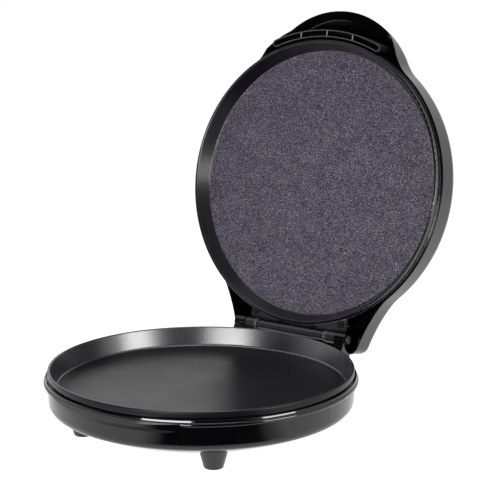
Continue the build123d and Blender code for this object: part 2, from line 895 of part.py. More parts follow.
# Finger opening in the hood's skirt
with BuildPart() as finger_gap:
    with BuildSketch(Plane.XZ.offset(lid_radius / 2)) as mouth:
        with BuildLine():
            Polyline(
                (-hood_half_width - hood_flare, hood_floor),
                (-hood_half_width - hood_flare, lid_edge_z),
                (-hood_half_width, lid_edge_z + hood_lift),
                (hood_half_width, lid_edge_z + hood_lift),
                (hood_half_width + hood_flare, lid_edge_z),
                (hood_half_width + hood_flare, hood_floor),
                close=True,
            )
        make_face()
        fillet(mouth.vertices().group_by(Axis.Y)[-1], hood_corner)
    extrude(amount=handle_reach - lid_radius / 2 + 1)
    with BuildSketch(Plane.XY.offset(hood_floor)):
        Circle(lid_radius)
    extrude(amount=lid_side_height, mode=Mode.SUBTRACT)

with BuildPart() as lid_housing:
    add(casing(lid_plan(0, True), lid_edge_z, lid_side_z, lid_shoulder))
    hollow = casing(lid_plan(lid_wall, False), lid_edge_z, lid_side_z - lid_wall, lid_shoulder - lid_wall)
    add(hollow, mode=Mode.SUBTRACT)
    add(hood.part, mode=Mode.SUBTRACT)
    add(finger_gap.part, mode=Mode.SUBTRACT)
    # Posts over the frame's arms and bosses for the hinge plate's screws
    with BuildSketch(Plane.XY.offset(arm_top_z)):
        with PolarLocations(lid_radius - lid_post_inset, 4, 45):
            Circle(post_radius)
    extrude(amount=lid_side_z - lid_wall / 2 - arm_top_z)
    with BuildSketch(Plane.XY.offset(plate_top_z)):
        with Locations(*hinge_screws):
            Circle(post_radius)
    extrude(amount=lid_side_z - lid_wall / 2 - plate_top_z)
    with BuildSketch(Plane.XY.offset(plate_top_z)):
        with Locations(*hinge_screws):
            Circle(screw_hole)
    extrude(amount=hole_depth, mode=Mode.SUBTRACT)
    # Holes of the two lights
    with BuildSketch(Plane.XY.offset(lid_side_z - 2 * lid_wall)):
        with Locations(*lens_places):
            Circle(lens_radius + lens_clearance)
    extrude(amount=2 * lid_wall + lid_crown, mode=Mode.SUBTRACT)

# Frame: a ring on the plate's band with four arms that bridge to the plate's bosses
frame_radius = lid_radius - lid_wall - frame_fit
arm_reach = frame_radius - arm_setback
with BuildPart() as lid_frame:
    with BuildSketch(Plane.XY.offset(plate_seat_z)):
        Circle(frame_radius)
        Circle(plate_back_radius + frame_fit, mode=Mode.SUBTRACT)
    extrude(amount=frame_sheet)
    for angle in (0, 90, 180, 270):
        radial = Plane.XZ.rotated((0, 0, angle)).offset(-arm_width / 2)
        with BuildSketch(radial):
            with BuildLine():
                Polyline(
                    (arm_reach, plate_seat_z),
                    (arm_reach, arm_top_z - arm_bend),
                    (arm_reach - arm_bend, arm_top_z),
                    (boss_ring_radius - arm_overlap, arm_top_z),
                    (boss_ring_radius - arm_overlap, upper_shield_z),
                    (arm_reach - arm_bend - arm_sheet / 2, upper_shield_z),
                    (arm_reach - arm_sheet, arm_top_z - arm_bend - arm_sheet / 2),
                    (arm_reach - arm_sheet, plate_seat_z),
                    close=True,
                )
            make_face()
        extrude(amount=arm_width)
    with BuildSketch(Plane.XY.offset(upper_shield_z)):
        with Locations(*boss_places):
            Circle(screw_hole)
    extrude(amount=arm_sheet, mode=Mode.SUBTRACT)

# Hinge plate with its two knuckles
with BuildPart() as lid_hinge_plate:
    with BuildSketch(Plane.XY.offset(frame_top_z)):
        with Locations((0, hinge_y + (hinge_plate_rear - hinge_plate_front) / 2)):
            Rectangle(2 * hinge_plate_half, hinge_plate_rear + hinge_plate_front)
        Circle(plate_back_radius + frame_fit, mode=Mode.SUBTRACT)
    extrude(amount=hinge_plate_sheet)
    for side in (-1, 1):
        with BuildSketch(Plane.YZ.offset(side * knuckle_inner)):
            with Locations((hinge_y, hinge_z)):
                Circle(knuckle_radius)
            with Locations((hinge_y, (hinge_z + plate_top_z) / 2)):
                Rectangle(2 * knuckle_radius, plate_top_z - hinge_z)
        extrude(amount=side * (knuckle_outer - knuckle_inner))
    with BuildSketch(Plane.YZ.offset(-knuckle_outer)):
        with Locations((hinge_y, hinge_z)):
            Circle(rod_radius + barrel_clearance)
    extrude(amount=2 * knuckle_outer, mode=Mode.SUBTRACT)
    with BuildSketch(Plane.XY.offset(frame_top_z)):
        with Locations(*hinge_screws):
            Circle(screw_hole)
        with Locations((0, arm_reach - arm_sheet / 2)):
            Rectangle(arm_width + 1, arm_sheet + 1)
    extrude(amount=hinge_plate_sheet, mode=Mode.SUBTRACT)

with BuildPart() as lid_hinge_screws:
    add(screws(hinge_screws, frame_top_z, plate_top_z + thread_depth))


def barrel(side):
    """Return one half of the hinge barrel, with its collar and the web that holds it up."""
    with BuildPart() as sleeve:
        with BuildSketch(Plane.YZ.offset(side * barrel_seam)):
            with Locations((hinge_y, hinge_z)):
                Circle(barrel_radius)
        extrude(amount=side * (barrel_half - barrel_seam))
        with BuildSketch(Plane.YZ.offset(side * (barrel_half - collar_length))):
            with Locations((hinge_y, hinge_z)):
                Circle(collar_radius)
        extrude(amount=side * collar_length)
        with BuildSketch(Plane.XY.offset(hinge_z)):
            with Locations((side * barrel_half / 2, hinge_y)):
                Rectangle(barrel_half - 4 * collar_length, web_sheet)
        extrude(amount=frame_top_z - hinge_z)
        with BuildSketch(Plane.YZ):
            with Locations((hinge_y, hinge_z)):
                Circle(rod_radius + barrel_clearance)
        extrude(amount=side * barrel_half, mode=Mode.SUBTRACT)
    return sleeve.part


with BuildPart() as hinge_barrel_left:
    add(barrel(-1))
with BuildPart() as hinge_barrel_right:
    add(barrel(1))

# Guard strip: a curved channel with three ribs, open towards the base
guard_mid = guard_inner_radius + guard_width / 2
guard_z = upper_rim_z - plate_gap / 2
guard_path = CenterArc((0, 0), guard_mid, 270 - guard_half_angle, 2 * guard_half_angle)
with BuildPart() as handle_guard:
    with BuildSketch(Plane.XY.offset(guard_z)):
        SlotArc(guard_path, guard_width)
    extrude(amount=guard_height)
    with BuildSketch(Plane.XY.offset(guard_z)):
        SlotArc(guard_path, guard_width - 2 * guard_wall)
    extrude(amount=guard_channel, mode=Mode.SUBTRACT)
    with BuildSketch(Plane.XY.offset(guard_z + guard_rib_setback)):
        for place in (-guard_rib_pitch, 0, guard_rib_pitch):
            with Locations((place, -sqrt(guard_mid**2 - place**2))):
                Rectangle(guard_rib, guard_width - guard_wall)
    extrude(amount=guard_channel)

# Lights on the lid: lenses through its top, lamps on a tray that rests on the front arm
def lens(x):
    """Return one light's lens: a domed plug with a flange under the lid's top."""
    with BuildPart() as plug:
        with BuildSketch(Plane.XY.offset(lid_side_z - lid_wall)):
            with Locations((x, lens_y)):
                Circle(lens_radius)
        extrude(amount=lid_wall + lens_rise)
        fillet(plug.faces().sort_by(Axis.Z)[-1].edges(), lens_rise * 0.8)
        with BuildSketch(Plane.XY.offset(lid_side_z - lid_wall)):
            with Locations((x, lens_y)):
                Circle(lens_radius + lens_flange)
        extrude(amount=-lens_flange)
    return plug.part


with BuildPart() as power_lens:
    add(lens(-lens_pitch / 2))
with BuildPart() as ready_lens:
    add(lens(lens_pitch / 2))

with BuildPart() as lamp_bracket:
    with BuildSketch(Plane.XY.offset(arm_top_z)):
        with Locations((0, lens_y)):
            Rectangle(tray_length, tray_depth)
    extrude(amount=tray_lip)
    with BuildSketch(Plane.XY.offset(arm_top_z + tray_sheet)):
        with Locations((0, lens_y)):
            Rectangle(tray_length, tray_depth - 2 * tray_sheet)
    extrude(amount=tray_lip, mode=Mode.SUBTRACT)

lamp_top_z = lid_side_z - lid_wall - lens_flange - lamp_gap
with BuildPart() as indicator_lamps:
    with BuildSketch(Plane.XY.offset(arm_top_z + tray_sheet)):
        with Locations(*lens_places):
            Circle(lamp_radius)
    extrude(amount=lamp_top_z - arm_top_z - tray_sheet)
    fillet(indicator_lamps.faces().group_by(Axis.Z)[-1].edges(), lamp_radius / 2)

lid_pieces = {
    "lid_housing": lid_housing,
    "lid_frame": lid_frame,
    "upper_pan": upper_pan,
    "upper_heating_element": upper_heating_element,
    "upper_element_clips": upper_element_clips,
    "upper_reflector": upper_reflector,
    "upper_pan_screws": upper_pan_screws,
    "lid_hinge_plate": lid_hinge_plate,
    "lid_hinge_screws": lid_hinge_screws,
    "hinge_barrel_left": hinge_barrel_left,
    "hinge_barrel_right": hinge_barrel_right,
    "handle_guard": handle_guard,
    "upper_thermostat": upper_thermostat,
    "lamp_bracket": lamp_bracket,
    "indicator_lamps": indicator_lamps,
    "power_lens": power_lens,
    "ready_lens": ready_lens,
}
for piece in lid_pieces.values():
    piece.part = piece.part.rotate(hinge_axis, -open_angle)

base_pieces = {
    "base_housing": base_housing,
    "lower_pan": lower_pan,
    "lower_heating_element": lower_heating_element,
    "lower_element_clips": lower_element_clips,
    "lower_reflector": lower_reflector,
    "lower_pan_screws": lower_pan_screws,
    "foot_front_left": foot_front_left,
    "foot_front_right": foot_front_right,
    "foot_rear_left": foot_rear_left,
    "foot_rear_right": foot_rear_right,
    "foot_screws": foot_screws,
    "foot_pads": foot_pads,
    "hinge_rod": hinge_rod,
    "hinge_cap_left": hinge_cap_left,
    "hinge_cap_right": hinge_cap_right,
    "lower_thermostat": lower_thermostat,
    "thermal_fuse": thermal_fuse,
    "terminal_block": terminal_block,
    "cord_inlet": cord_inlet,
}

# The origin of the finished part is the middle of its outline, on the bench
pieces = {**base_pieces, **lid_pieces}
outline = Compound([piece.part for piece in pieces.values()]).bounding_box()
to_middle = Location((0, -outline.center().Y, 0))
for name, piece in pieces.items():
    piece.part = piece.part.moved(to_middle)
    piece.part.label = name
    export_step(piece.part, f"parts/{name}.step")
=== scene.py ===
"""Dress the electric pizza maker: its finishes, its fine pieces, the studio and the camera.

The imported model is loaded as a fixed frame, in metres, with +Z up, the handle towards -Y and
the hinge towards +Y. Each sub-assembly is a class that builds its own pieces and gives its
nodes their finishes, and the studio is a class of its own. Sizes of pieces are in millimetres
and sizes of the studio in metres.
"""

import json
import logging
import math
from dataclasses import dataclass
from enum import Enum

import bpy
from mathutils import Matrix, Vector

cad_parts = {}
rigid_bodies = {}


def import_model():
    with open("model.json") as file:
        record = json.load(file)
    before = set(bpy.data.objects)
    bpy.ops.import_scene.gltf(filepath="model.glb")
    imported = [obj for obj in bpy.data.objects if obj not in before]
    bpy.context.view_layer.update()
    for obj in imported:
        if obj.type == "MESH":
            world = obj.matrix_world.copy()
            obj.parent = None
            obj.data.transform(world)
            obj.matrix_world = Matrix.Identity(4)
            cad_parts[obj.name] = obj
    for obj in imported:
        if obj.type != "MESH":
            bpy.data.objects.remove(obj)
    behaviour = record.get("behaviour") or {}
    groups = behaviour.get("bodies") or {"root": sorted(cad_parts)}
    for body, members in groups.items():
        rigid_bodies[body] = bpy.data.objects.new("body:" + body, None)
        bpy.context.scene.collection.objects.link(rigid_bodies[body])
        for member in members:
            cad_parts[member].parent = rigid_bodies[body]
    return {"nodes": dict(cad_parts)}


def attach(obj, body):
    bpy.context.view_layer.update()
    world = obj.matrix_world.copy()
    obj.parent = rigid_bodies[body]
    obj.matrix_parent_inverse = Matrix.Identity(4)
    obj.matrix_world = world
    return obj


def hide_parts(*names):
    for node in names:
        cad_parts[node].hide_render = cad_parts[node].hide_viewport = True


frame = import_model()

MM = 0.001
# Where the lower pan's upright axis stands, and where the hinge lies in Y and Z.
PAN_AXIS_Y = -52.316
HINGE = (111.684, 67.4)
# How far the lid stands open in the frame, and the open lid's own upward direction.
OPEN_DEG = 101.7
LID_UP = Vector((0.0, math.sin(math.radians(OPEN_DEG)), math.cos(math.radians(OPEN_DEG))))
# Faces that meet below these angles are shaded as one surface, on turned and on round pieces.
TURNED_SMOOTH_DEG = 32.0
ROUND_SMOOTH_DEG = 40.0
# Vertices closer than this are one vertex, in metres.
MERGE = 0.00001
# The middle of a noise's values, and where the grain turns from the ground to the fleck.
NOISE_MIDDLE = (0.3, 0.7)
FLECK_RANGE = (0.4, 0.65)
BLACK = (0.0, 0.0, 0.0, 1.0)
WHITE = (1.0, 1.0, 1.0, 1.0)
LOG = logging.getLogger("pizza_maker")
Tree = bpy.types.NodeTree
Socket = bpy.types.NodeSocket


class Body(Enum):
    """The two rigid bodies of the part."""

    BASE = "base"
    LID = "lid"


def linear(hex_colour: str) -> tuple[float, float, float, float]:
    """Turn an sRGB hex colour to the linear colour that shaders take.

    Args:
        hex_colour: Six hexadecimal digits, with or without a leading hash.

    Returns:
        Linear red, green and blue, and an alpha of 1.
    """
    digits = hex_colour.lstrip("#")
    channels = [int(digits[i : i + 2], 16) / 255 for i in (0, 2, 4)]
    light = [c / 12.92 if c <= 0.04045 else ((c + 0.055) / 1.055) ** 2.4 for c in channels]
    return (light[0], light[1], light[2], 1.0)


def add_node(
    tree: Tree,
    kind: str,
    settings: dict[str, object] | None = None,
    values: dict[object, object] | None = None,
    links: dict[object, Socket] | None = None,
) -> bpy.types.Node:
    """Add one node to a tree, with its settings, its values and its incoming links.

    Args:
        tree: The node tree that takes the node.
        kind: The node's type name.
        settings: Attributes of the node, by name.
        values: Values of its input sockets, by name or number.
        links: Output sockets of other nodes, by the input they go into.

    Returns:
        The new node.
    """
    node = tree.nodes.new(kind)
    for name, value in (settings or {}).items():
        setattr(node, name, value)
    for name, value in (values or {}).items():
        node.inputs[name].default_value = value
    for name, socket in (links or {}).items():
        tree.links.new(socket, node.inputs[name])
    return node


def ramp(
    tree: Tree,
    source: Socket,
    stops: list[tuple[float, tuple[float, float, float, float]]],
) -> Socket:
    """Add a colour ramp with the given stops.

    Args:
        tree: The node tree.
        source: The socket that drives the ramp.
        stops: Positions from 0 to 1, each with its colour.

    Returns:
        The ramp's colour socket.
    """
    node = add_node(tree, "ShaderNodeValToRGB", links={"Fac": source})
    elements = node.color_ramp.elements
    while len(elements) < len(stops):
        elements.new(0.5)
    for element, (place, colour) in zip(elements, stops):
        element.position = place
        element.color = colour
    return node.outputs["Color"]


def empty_tree(holder: bpy.types.Material | bpy.types.World) -> Tree:
    """Give a material or a world an empty node tree.

    Args:
        holder: The material or the world.

    Returns:
        Its node tree.
    """
    holder.use_nodes = True
    holder.node_tree.nodes.clear()
    return holder.node_tree


def surface_input(tree: Tree) -> Socket:
    """Return the input of a material's output node that takes its surface."""
    return next(node for node in tree.nodes if node.type == "OUTPUT_MATERIAL").inputs["Surface"]


def drift(
    tree: Tree,
    place: Socket,
    patch_mm: float,
    detail: float,
    reach: tuple[float, float],
) -> Socket:
    """Add a value that drifts slowly from patch to patch.

    Args:
        tree: The material's nodes.
        place: The Object coordinates.
        patch_mm: The size of the patches.
        detail: The noise's detail.
        reach: The lowest and the highest value.

    Returns:
        The value's socket.
    """
    noise = add_node(
        tree,
        "ShaderNodeTexNoise",
        values={"Scale": 1.0 / (patch_mm * MM), "Detail": detail},
        links={"Vector": place},
    ).outputs["Fac"]
    low, high = NOISE_MIDDLE
    return add_node(
        tree,
        "ShaderNodeMapRange",
        values={"From Min": low, "From Max": high, "To Min": reach[0], "To Max": reach[1]},
        links={"Value": noise},
    ).outputs["Result"]


def lid_mask(tree: Tree, place: Socket, start: float, end: float) -> Socket:
    """Add a mask that goes from 0 to 1 between two levels along the open lid's upward line.

    Args:
        tree: The material's nodes.
        place: The Object coordinates.
        start: The level where it is 0, in metres.
        end: The level where it is 1.

    Returns:
        The mask's socket.
    """
    level = add_node(
        tree,
        "ShaderNodeVectorMath",
        settings={"operation": "DOT_PRODUCT"},
        values={1: LID_UP},
        links={0: place},
    ).outputs["Value"]
    return add_node(
        tree,
        "ShaderNodeMapRange",
        values={"From Min": start, "From Max": end},
        links={"Value": level},
    ).outputs["Result"]


@dataclass(frozen=True)
class Finish:
    """One surface finish: its colour, its gloss and its fine grain.

    The grain is a noise on Object coordinates. Its size is a real size in millimetres, and its
    depth is the height of the bumps.
    """

    name: str
    colour: str
    fleck: str
    roughness: float
    metallic: float = 0.0
    ior: float = 1.5
    grain_mm: float = 1.0
    grain_depth_mm: float = 0.0
    roughness_spread: float = 0.03
    roughness_patch_mm: float = 40.0
    alpha: float = 1.0

    def grain(self, tree: Tree, place: Socket) -> Socket:
        """Add the fine grain, from 0 to 1.

        Args:
            tree: The material's nodes.
            place: The Object coordinates.

        Returns:
            The grain's socket.
        """
        return add_node(
            tree,
            "ShaderNodeTexNoise",
            values={"Scale": 1.0 / (self.grain_mm * MM), "Detail": 2.0, "Roughness": 0.6},
            links={"Vector": place},
        ).outputs["Fac"]

    def tint(self, tree: Tree, place: Socket, grain: Socket) -> Socket:
        """Add the colour, which goes from the ground to the fleck with the grain.

        Args:
            tree: The material's nodes.
            place: The Object coordinates.
            grain: The grain's socket.

        Returns:
            The colour's socket.
        """
        stops = list(zip(FLECK_RANGE, (linear(self.colour), linear(self.fleck))))
        return ramp(tree, grain, stops)

    def gloss(self, tree: Tree, place: Socket) -> Socket:
        """Add the roughness, which drifts a little over patches a few centimetres wide.

        Args:
            tree: The material's nodes.
            place: The Object coordinates.

        Returns:
            The roughness socket.
        """
        reach = (self.roughness - self.roughness_spread, self.roughness + self.roughness_spread)
        return drift(tree, place, self.roughness_patch_mm, 3.0, reach)

    def build(self) -> bpy.types.Material:
        """Build the material.

        Returns:
            The finished material.
        """
        material = bpy.data.materials.new(self.name)
        tree = empty_tree(material)
        place = add_node(tree, "ShaderNodeTexCoord").outputs["Object"]
        grain = self.grain(tree, place)
        shader = add_node(
            tree,
            "ShaderNodeBsdfPrincipled",
            values={"Metallic": self.metallic, "IOR": self.ior, "Alpha": self.alpha},
            links={
                "Base Color": self.tint(tree, place, grain),
                "Roughness": self.gloss(tree, place),
            },
        )
        if self.grain_depth_mm:
            bump = add_node(
                tree,
                "ShaderNodeBump",
                values={"Strength": 1.0, "Distance": self.grain_depth_mm * MM},
                links={"Height": grain},
            )
            tree.links.new(bump.outputs["Normal"], shader.inputs["Normal"])
        out = add_node(tree, "ShaderNodeOutputMaterial")
        tree.links.new(shader.outputs["BSDF"], out.inputs["Surface"])
        return material


@dataclass(frozen=True)
class PlateCoating(Finish):
    """A baking plate's coating: smooth on the wall and rim, with mineral grit on the flat disc.

    The disc is found by its level along the lid's upward line, from one of its points, which is
    in metres. The Finish's colour and fleck are the smooth part's, and its roughness, index and
    grain are the disc's.
    """

    smooth_roughness: float = 0.22
    smooth_ior: float = 1.52
    mottle_mm: float = 6.0
    grit: tuple[str, ...] = ("#090812", "#232130", "#4f4b5a", "#938d91")
    grit_steps: tuple[float, ...] = (0.1, 0.4, 0.65, 0.92)
    shade_patch_mm: float = 18.0
    shade_spread: float = 0.03
    disc_point: tuple[float, float, float] = (0.0, 0.126765, 0.064278)
    disc_edge_mm: tuple[float, float] = (-0.5, -0.2)

    def on_disc(self, tree: Tree, place: Socket) -> Socket:
        """Add the mask of the flat disc.

        Args:
            tree: The material's nodes.
            place: The Object coordinates.

        Returns:
            A socket that is 1 on the disc and 0 on the wall and the rim.
        """
        level = Vector(self.disc_point).dot(LID_UP)
        start, end = self.disc_edge_mm
        return lid_mask(tree, place, level + start * MM, level + end * MM)

    def grain(self, tree: Tree, place: Socket) -> Socket:
        """Add the grit: one shade for each grain, on the disc alone.

        Args:
            tree: The material's nodes.
            place: The Object coordinates.

        Returns:
            The grit's socket.
        """
        cells = add_node(
            tree,
            "ShaderNodeTexVoronoi",
            values={"Scale": 1.0 / (self.grain_mm * MM)},
            links={"Vector": place},
        ).outputs["Color"]
        return add_node(
            tree,
            "ShaderNodeMath",
            settings={"operation": "MULTIPLY"},
            links={0: cells, 1: self.on_disc(tree, place)},
        ).outputs["Value"]

    def tint(self, tree: Tree, place: Socket, grain: Socket) -> Socket:
        """Add the colour of the grit, with a slow drift over patches a few centimetres wide.

        Args:
            tree: The material's nodes.
            place: The Object coordinates.
            grain: The grit's socket.

        Returns:
            The colour's socket.
        """
        reach = (-self.shade_spread, self.shade_spread)
        shift = drift(tree, place, self.shade_patch_mm, 2.0, reach)
        mixed = add_node(
            tree, "ShaderNodeMath", settings={"operation": "ADD"}, links={0: grain, 1: shift}
        ).outputs["Value"]
        stops = [(step, linear(shade)) for step, shade in zip(self.grit_steps, self.grit)]
        return ramp(tree, mixed, stops)

    def build(self) -> bpy.types.Material:
        """Build the coating from its two finishes.

        Returns:
            The finished material.
        """
        material = super().build()
        tree = material.node_tree
        surface = surface_input(tree)
        gritty = surface.links[0].from_socket
        place = add_node(tree, "ShaderNodeTexCoord").outputs["Object"]
        mottle = add_node(
            tree,
            "ShaderNodeTexNoise",
            values={"Scale": 1.0 / (self.mottle_mm * MM), "Detail": 2.0},
            links={"Vector": place},
        ).outputs["Fac"]
        colour = super().tint(tree, place, mottle)
        smooth = add_node(
            tree,
            "ShaderNodeBsdfPrincipled",
            values={"IOR": self.smooth_ior, "Roughness": self.smooth_roughness},
            links={"Base Color": colour},
        ).outputs["BSDF"]
        mixed = add_node(
            tree,
            "ShaderNodeMixShader",
            links={0: self.on_disc(tree, place), 1: smooth, 2: gritty},
        ).outputs["Shader"]
        tree.links.new(mixed, surface)
        return material


@dataclass(frozen=True)
class PocketedMoulding(Finish):
    """A moulding whose front edges are satin, and whose deep pockets are painted matt and black as
    painted shade.

    The painted shade starts behind the front edge and is full at a depth behind it.
    """

    # Painted shade for the pockets: a near-black colour, and a low index that keeps them dark.
    pocket_shade_colour: str = "#030303"
    pocket_roughness: float = 0.7
    pocket_ior: float = 1.2
    pocket_edge_mm: tuple[float, float] = (0.1, 0.6)

    def build_for(self, node: str) -> bpy.types.Material:
        """Build the material for one node, whose front is found from its own mesh.

        Args:
            node: The CAD node that wears it.

        Returns:
            The finished material.
        """
        material = super().build()
        tree = material.node_tree
        surface = surface_input(tree)
        edges = surface.links[0].from_socket
        place = add_node(tree, "ShaderNodeTexCoord").outputs["Object"]
        vertices = frame["nodes"][node].data.vertices
        front = min(vertex.co.dot(LID_UP) for vertex in vertices)
        start, end = self.pocket_edge_mm
        deep = lid_mask(tree, place, front + start * MM, front + end * MM)
        # Painted shade: a dark matt shader that blacks out the pockets behind the front edge.
        matt = add_node(
            tree,
            "ShaderNodeBsdfPrincipled",
            values={
                "Base Color": linear(self.pocket_shade_colour),
                "Roughness": self.pocket_roughness,
                "IOR": self.pocket_ior,
            },
        ).outputs["BSDF"]
        mixed = add_node(
            tree, "ShaderNodeMixShader", links={0: deep, 1: edges, 2: matt}
        ).outputs["Shader"]
        tree.links.new(mixed, surface)
        return material


# High-gloss moulded ABS: deep black with clear, slightly soft reflections.
GLOSS_ABS = Finish("high_gloss_moulded_abs", "#040405", "#060606", 0.09, ior=1.46, grain_mm=30)
# Sprayed non-stick coating on cast aluminium, violet-black satin: the top of the pan's rim.
PAN_COATING = Finish(
    "sprayed_nonstick_coating",
    "#131217",
    "#19181f",
    0.24,
    ior=1.5,
    grain_mm=2.2,
    grain_depth_mm=0.004,
)
# A lit copy of the same coating on the wall: its index is above a typical one, which paints in the
# bright reflections there.
PAN_WALL_COATING = Finish(
    "nonstick_wall_coating_painted_reflection", "#141318", "#16151b", 0.28, ior=1.95, grain_mm=2.2
)
# A shaded copy of the same coating on the rim's side and the back: a darker colour as painted
# shade, and a low index for weak reflections.
PAN_SIDE_SHADED_COATING = Finish(
    "nonstick_coating_painted_shade", "#08080b", "#0d0d11", 0.3, ior=1.25, grain_mm=2.2
)
# The same coating on the toothed baking floor. A low index keeps it dark at a low angle.
PAN_FLOOR_COATING = Finish(
    "toothed_nonstick_coating",
    "#0a0a0c",
    "#18181b",
    0.3,
    ior=1.28,
    grain_mm=0.9,
    grain_depth_mm=0.02,
)
# Speckled non-stick coating: violet-black, with mineral grit under 1 mm across on the disc.
SPECKLE_COATING = PlateCoating(
    "speckled_nonstick_coating",
    "#05040a",
    "#0c0b11",
    0.3,
    ior=1.42,
    grain_mm=0.66,
    grain_depth_mm=0.06,
)
# Moulded satin ABS: the feet and the caps.
SATIN_ABS = Finish(
    "satin_moulded_abs", "#0f0f10", "#161618", 0.36, ior=1.5, grain_mm=0.8, grain_depth_mm=0.02
)
# Moulded nylon with a low sheen: the guard strip, with painted shade in its pockets.
GUARD_NYLON = PocketedMoulding(
    "moulded_black_nylon", "#0d0d0e", "#141415", 0.24, ior=1.53, grain_mm=1.5
)
# The same nylon in lighter greys, as painted highlights: the thin bright lines of the strip's edge
# and ribs.
EDGE_HIGHLIGHT_NYLON = Finish("nylon_edge_painted_highlight", "#3a3a3c", "#4a4a4c", 0.3, ior=1.53, grain_mm=0.8)
RIB_HIGHLIGHT_NYLON = Finish("nylon_rib_painted_highlight", "#777775", "#8c8c89", 0.3, ior=1.53, grain_mm=0.8)
# Baked satin enamel on steel: the hinge barrels and their plate, slightly violet.
HINGE_ENAMEL = Finish(
    "baked_satin_enamel", "#1b1a21", "#26252d", 0.25, ior=1.5, grain_mm=0.6, grain_depth_mm=0.01
)
# The same enamel in a lighter grey, as a painted highlight: the bright lines of the collars'
# rounded edges.
BAND_HIGHLIGHT_ENAMEL = Finish("enamel_edge_painted_highlight", "#5c5b62", "#74737a", 0.2, ior=1.6, grain_mm=0.6)
# Zinc-plated steel: bright and slightly blue.
ZINC_STEEL = Finish("zinc_plated_steel", "#b4b6ba", "#c6c8cc", 0.3, metallic=1.0, grain_mm=0.5)
# Blackened steel screws: an oxide film, dark with small glints.
BLACKENED_STEEL = Finish("blackened_steel", "#2a2a2e", "#36363b", 0.28, metallic=1.0, grain_mm=0.5)
# Heater sheath: oxidised steel tube, warm grey.
HEATER_STEEL = Finish("oxidised_steel_tube", "#6b665f", "#7c766d", 0.5, metallic=1.0, grain_mm=1.5)
# Bright rolled aluminium sheet.
ALUMINIUM_SHEET = Finish(
    "rolled_aluminium_sheet", "#c9cbcd", "#d6d8da", 0.28, metallic=1.0, grain_mm=0.7
)
# Phenolic moulding: matt brown-black.
PHENOLIC = Finish("phenolic_moulding", "#35281f", "#43342a", 0.55, grain_mm=0.8)
# Natural nylon: off-white.
NYLON = Finish("natural_nylon", "#d8d2c2", "#e2ddd0", 0.5, grain_mm=0.8)
# Moulded rubber: matt black, for the pads and the inlet, and for the dark ring between the barrels
# as painted shade at their seam.
RUBBER = Finish("moulded_rubber", "#141414", "#1b1b1b", 0.75, grain_mm=0.8, grain_depth_mm=0.02)
# Tinted polycarbonate of the two lights.
RED_LENS = Finish("red_polycarbonate", "#9c1512", "#a51a17", 0.12, ior=1.58, grain_mm=20)
GREEN_LENS = Finish("green_polycarbonate", "#1c7a33", "#218238", 0.12, ior=1.58, grain_mm=20)
# Clear glass of the lamps behind the lenses.
LAMP_GLASS = Finish("lamp_glass", "#e8e6df", "#efeee8", 0.08, ior=1.52, grain_mm=10, alpha=0.5)


def deselect_all() -> None:
    """Leave nothing selected, in object mode."""
    if bpy.context.object and bpy.context.object.mode != "OBJECT":
        bpy.ops.object.mode_set(mode="OBJECT")
    for thing in bpy.context.scene.objects:
        thing.select_set(False)


def select_only(*pieces: bpy.types.Object) -> None:
    """Select the given pieces alone and make the first one active.

    Args:
        pieces: The pieces.
    """
    deselect_all()
    for piece in pieces:
        piece.select_set(True)
    bpy.context.view_layer.objects.active = pieces[0]


def apply_place() -> None:
    """Put the place, turn and scale of what is selected into its mesh."""
    bpy.ops.object.transform_apply(location=True, rotation=True, scale=True)


def smooth(angle_deg: float) -> None:
    """Shade what is selected smooth where its faces meet below an angle."""
    bpy.ops.object.shade_smooth_by_angle(angle=math.radians(angle_deg))


def spread(
    piece: bpy.types.Object, places: list[tuple[float, float, float]]
) -> list[bpy.types.Object]:
    """Move a piece to the first place and copies of it to the others.

    Args:
        piece: The piece, with its own place in its mesh.
        places: How far each one is moved from there, in millimetres.

    Returns:
        All the pieces, each with its own mesh.
    """
    pieces = [piece]
    for _ in places[1:]:
        select_only(piece)
        bpy.ops.object.duplicate()
        pieces.append(bpy.context.object)
    for one, place in zip(pieces, places):
        select_only(one)
        one.location = [value * MM for value in place]
        apply_place()
    return pieces


def joined(name: str, pieces: list[bpy.types.Object]) -> bpy.types.Object:
    """Join several pieces into one object.

    Args:
        name: The name of the whole.
        pieces: The pieces, of which the first one takes up the others.

    Returns:
        The whole.
    """
    select_only(*pieces)
    bpy.ops.object.join()
    whole = bpy.context.object
    whole.name = whole.data.name = name
    return whole


def dress(material: bpy.types.Material, *nodes: str) -> None:
    """Give CAD nodes their finish and report each.

    Args:
        material: The finish.
        nodes: The names of the nodes.
    """
    for node in nodes:
        mesh = frame["nodes"][node].data
        mesh.materials.clear()
        mesh.materials.append(material)
        LOG.info("%s is dressed in %s", node, material.name)


@dataclass
class Skin:
    """A copy of a CAD node with its stray normals mended, shown in the node's place.

    Where a domed face runs together in one point, that point's normal can lean far away from
    the faces round it, which leaves a dark wedge on a glossy surface.
    """

    node: str
    body: Body
    stray_deg: float = 30.0

    def build(self, material: bpy.types.Material) -> bpy.types.Object:
        """Copy the node and give each stray corner the normal of its own face.

        Args:
            material: The finish of the copy.

        Returns:
            The copy, which replaces the node.
        """
        copy = bpy.data.objects.new(f"{self.node}_skin", frame["nodes"][self.node].data.copy())
        bpy.context.scene.collection.objects.link(copy)
        mesh = copy.data
        normals = [corner.vector.copy() for corner in mesh.corner_normals]
        limit = math.cos(math.radians(self.stray_deg))
        mended = 0
        for face in mesh.polygons:
            for corner in face.loop_indices:
                if normals[corner].dot(face.normal) < limit:
                    normals[corner] = face.normal.copy()
                    mended += 1
        mesh.normals_split_custom_set(normals)
        mesh.materials.clear()
        mesh.materials.append(material)
        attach(copy, self.body.value)
        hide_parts(self.node)
        LOG.info("%s stands for %s with %d corners mended", copy.name, self.node, mended)
        return copy


